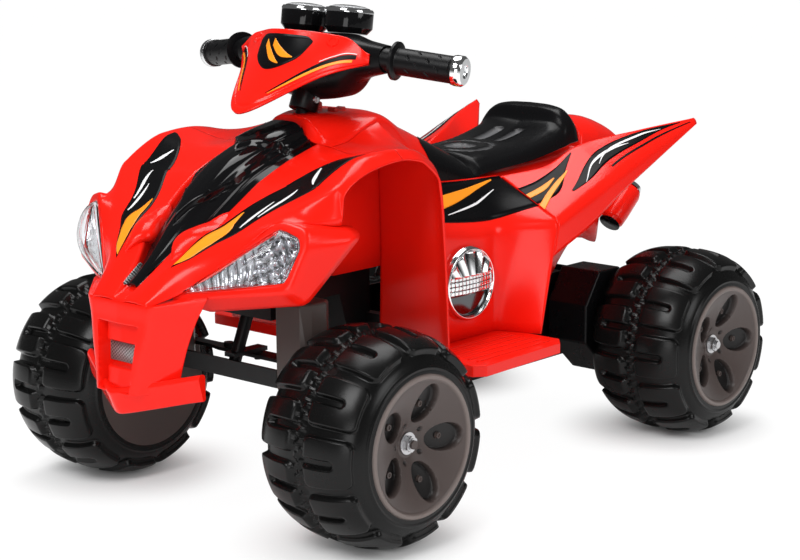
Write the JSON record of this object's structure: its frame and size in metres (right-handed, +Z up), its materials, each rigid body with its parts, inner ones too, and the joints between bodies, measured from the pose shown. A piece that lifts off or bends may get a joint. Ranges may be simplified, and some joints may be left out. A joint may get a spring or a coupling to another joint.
{
  "type": "child's ride-on quad bike",
  "caption": "Child's electric ride-on quad bike: glossy moulded shell, steered front wheels, driven rear axle, foot boards, pedal, saddle and a handlebar with buttons.",
  "frame": {"origin": "floor under the middle of the bike's overall box", "axes": "+Z up, -Y towards the nose, +X towards the rider's left"},
  "size_m": [0.705, 1.11, 0.6938],
  "materials": {
    "red_shell": "glossy moulded",
    "black_gloss": "high gloss",
    "black_plastic": "satin moulded",
    "saddle_plastic": "satin grained",
    "grip_plastic": "soft satin",
    "tyre_plastic": "semi gloss blow moulded",
    "disc_plastic": "satin moulded",
    "lamp_glass": "clear",
    "bright_trim": "bright plated plastic",
    "bare_steel": "zinc plated",
    "painted_steel": "black paint",
    "button_plastic": "glossy"
  },
  "bodies": {
    "root": {"battery": "black_plastic", "chassis_frame": "black_plastic", "front_axle_beam": "painted_steel", "front_bumper": "red_shell", "front_cowl": "red_shell", "grille_panel": "black_plastic", "hood_insert": "black_gloss", "left_engine_trim": "bright_trim", "right_engine_trim": "bright_trim", "left_footboard": "red_shell", "right_footboard": "red_shell", "left_gearbox": "black_plastic", "right_gearbox": "black_plastic", "left_headlamp_lens": "lamp_glass", "right_headlamp_lens": "lamp_glass", "left_leg_shield": "red_shell", "right_leg_shield": "red_shell", "left_motor": "painted_steel", "right_motor": "painted_steel", "left_side_panel": "red_shell", "right_side_panel": "red_shell", "left_strut": "disc_plastic", "right_strut": "disc_plastic", "left_tail_lamp": "bright_trim", "right_tail_lamp": "bright_trim", "left_wing": "red_shell", "right_wing": "red_shell", "pedal_base": "black_plastic", "rear_axle": "bare_steel", "rear_axle_beam": "black_plastic", "rear_body": "red_shell", "rear_nuts": "bare_steel", "saddle": "saddle_plastic", "tank_cover": "red_shell"},
    "steering": {"steering_column": "painted_steel", "handlebar_housing": "black_plastic", "steering_shield": "red_shell", "gauges": "black_gloss", "left_grip": "grip_plastic", "right_grip": "grip_plastic", "grip_caps": "bright_trim"},
    "left_knuckle": {"left_knuckle": "painted_steel", "front_left_nut": "bare_steel"},
    "right_knuckle": {"right_knuckle": "painted_steel", "front_right_nut": "bare_steel"},
    "tie_rod": {"tie_rod": "painted_steel"},
    "front_left_wheel": {"front_left_tyre": "tyre_plastic", "front_left_wheel_disc": "disc_plastic"},
    "front_right_wheel": {"front_right_tyre": "tyre_plastic", "front_right_wheel_disc": "disc_plastic"},
    "rear_left_wheel": {"rear_left_tyre": "tyre_plastic", "rear_left_wheel_disc": "disc_plastic"},
    "rear_right_wheel": {"rear_right_tyre": "tyre_plastic", "rear_right_wheel_disc": "disc_plastic"},
    "pedal": {"pedal": "black_plastic"},
    "power_switch": {"power_switch": "button_plastic"},
    "gear_switch": {"gear_switch": "button_plastic"},
    "horn_button": {"horn_button": "button_plastic"},
    "music_button": {"music_button": "button_plastic"}
  },
  "joints": [
    {"name": "steer", "type": "hinge", "parent": "root", "child": "steering", "pos_m": [0, -0.325, 0.206], "axis": [0, 0.3859, 0.9225], "range_deg": [-20, 20]},
    {"name": "left_kingpin", "type": "hinge", "parent": "root", "child": "left_knuckle", "pos_m": [0.135, -0.325, 0.148], "axis": [0, 0, 1], "range_deg": [-20, 20]},
    {"name": "right_kingpin", "type": "hinge", "parent": "root", "child": "right_knuckle", "pos_m": [-0.135, -0.325, 0.148], "axis": [0, 0, 1], "range_deg": [-20, 20]},
    {"name": "tie_rod_pin", "type": "hinge", "parent": "left_knuckle", "child": "tie_rod", "pos_m": [0.135, -0.28, 0.206], "axis": [0, 0, 1], "range_deg": [-20, 20]},
    {"name": "front_left_spin", "type": "hinge", "parent": "left_knuckle", "child": "front_left_wheel", "pos_m": [0.263, -0.325, 0.148], "axis": [1, 0, 0], "continuous": true},
    {"name": "front_right_spin", "type": "hinge", "parent": "right_knuckle", "child": "front_right_wheel", "pos_m": [-0.263, -0.325, 0.148], "axis": [1, 0, 0], "continuous": true},
    {"name": "rear_left_spin", "type": "hinge", "parent": "root", "child": "rear_left_wheel", "pos_m": [0.263, 0.407, 0.148], "axis": [1, 0, 0], "continuous": true},
    {"name": "rear_right_spin", "type": "hinge", "parent": "root", "child": "rear_right_wheel", "pos_m": [-0.263, 0.407, 0.148], "axis": [1, 0, 0], "continuous": true},
    {"name": "pedal_press", "type": "hinge", "parent": "root", "child": "pedal", "pos_m": [-0.212, 0.048, 0.2193], "axis": [1, 0, 0], "range_deg": [0, 10], "stiffness_Nm_per_rad": 6, "springref_deg": -2.86},
    {"name": "power_press", "type": "slide", "parent": "root", "child": "power_switch", "axis": [0, 0, -1], "range_m": [0, 0.003], "stiffness_N_per_m": 800, "springref_m": -0.001},
    {"name": "gear_rock", "type": "hinge", "parent": "root", "child": "gear_switch", "pos_m": [0.02, -0.132, 0.5444], "axis": [1, 0, 0], "range_deg": [-9, 9]},
    {"name": "horn_press", "type": "slide", "parent": "steering", "child": "horn_button", "axis": [0, -1, 0], "range_m": [0, 0.003], "stiffness_N_per_m": 800, "springref_m": -0.001},
    {"name": "music_press", "type": "slide", "parent": "steering", "child": "music_button", "axis": [0, -1, 0], "range_m": [0, 0.003], "stiffness_N_per_m": 800, "springref_m": -0.001}
  ],
  "couplings": [
    {"joint": "left_kingpin", "follows": "steer", "ratio": 1},
    {"joint": "right_kingpin", "follows": "steer", "ratio": 1},
    {"joint": "tie_rod_pin", "follows": "steer", "ratio": -1}
  ]
}
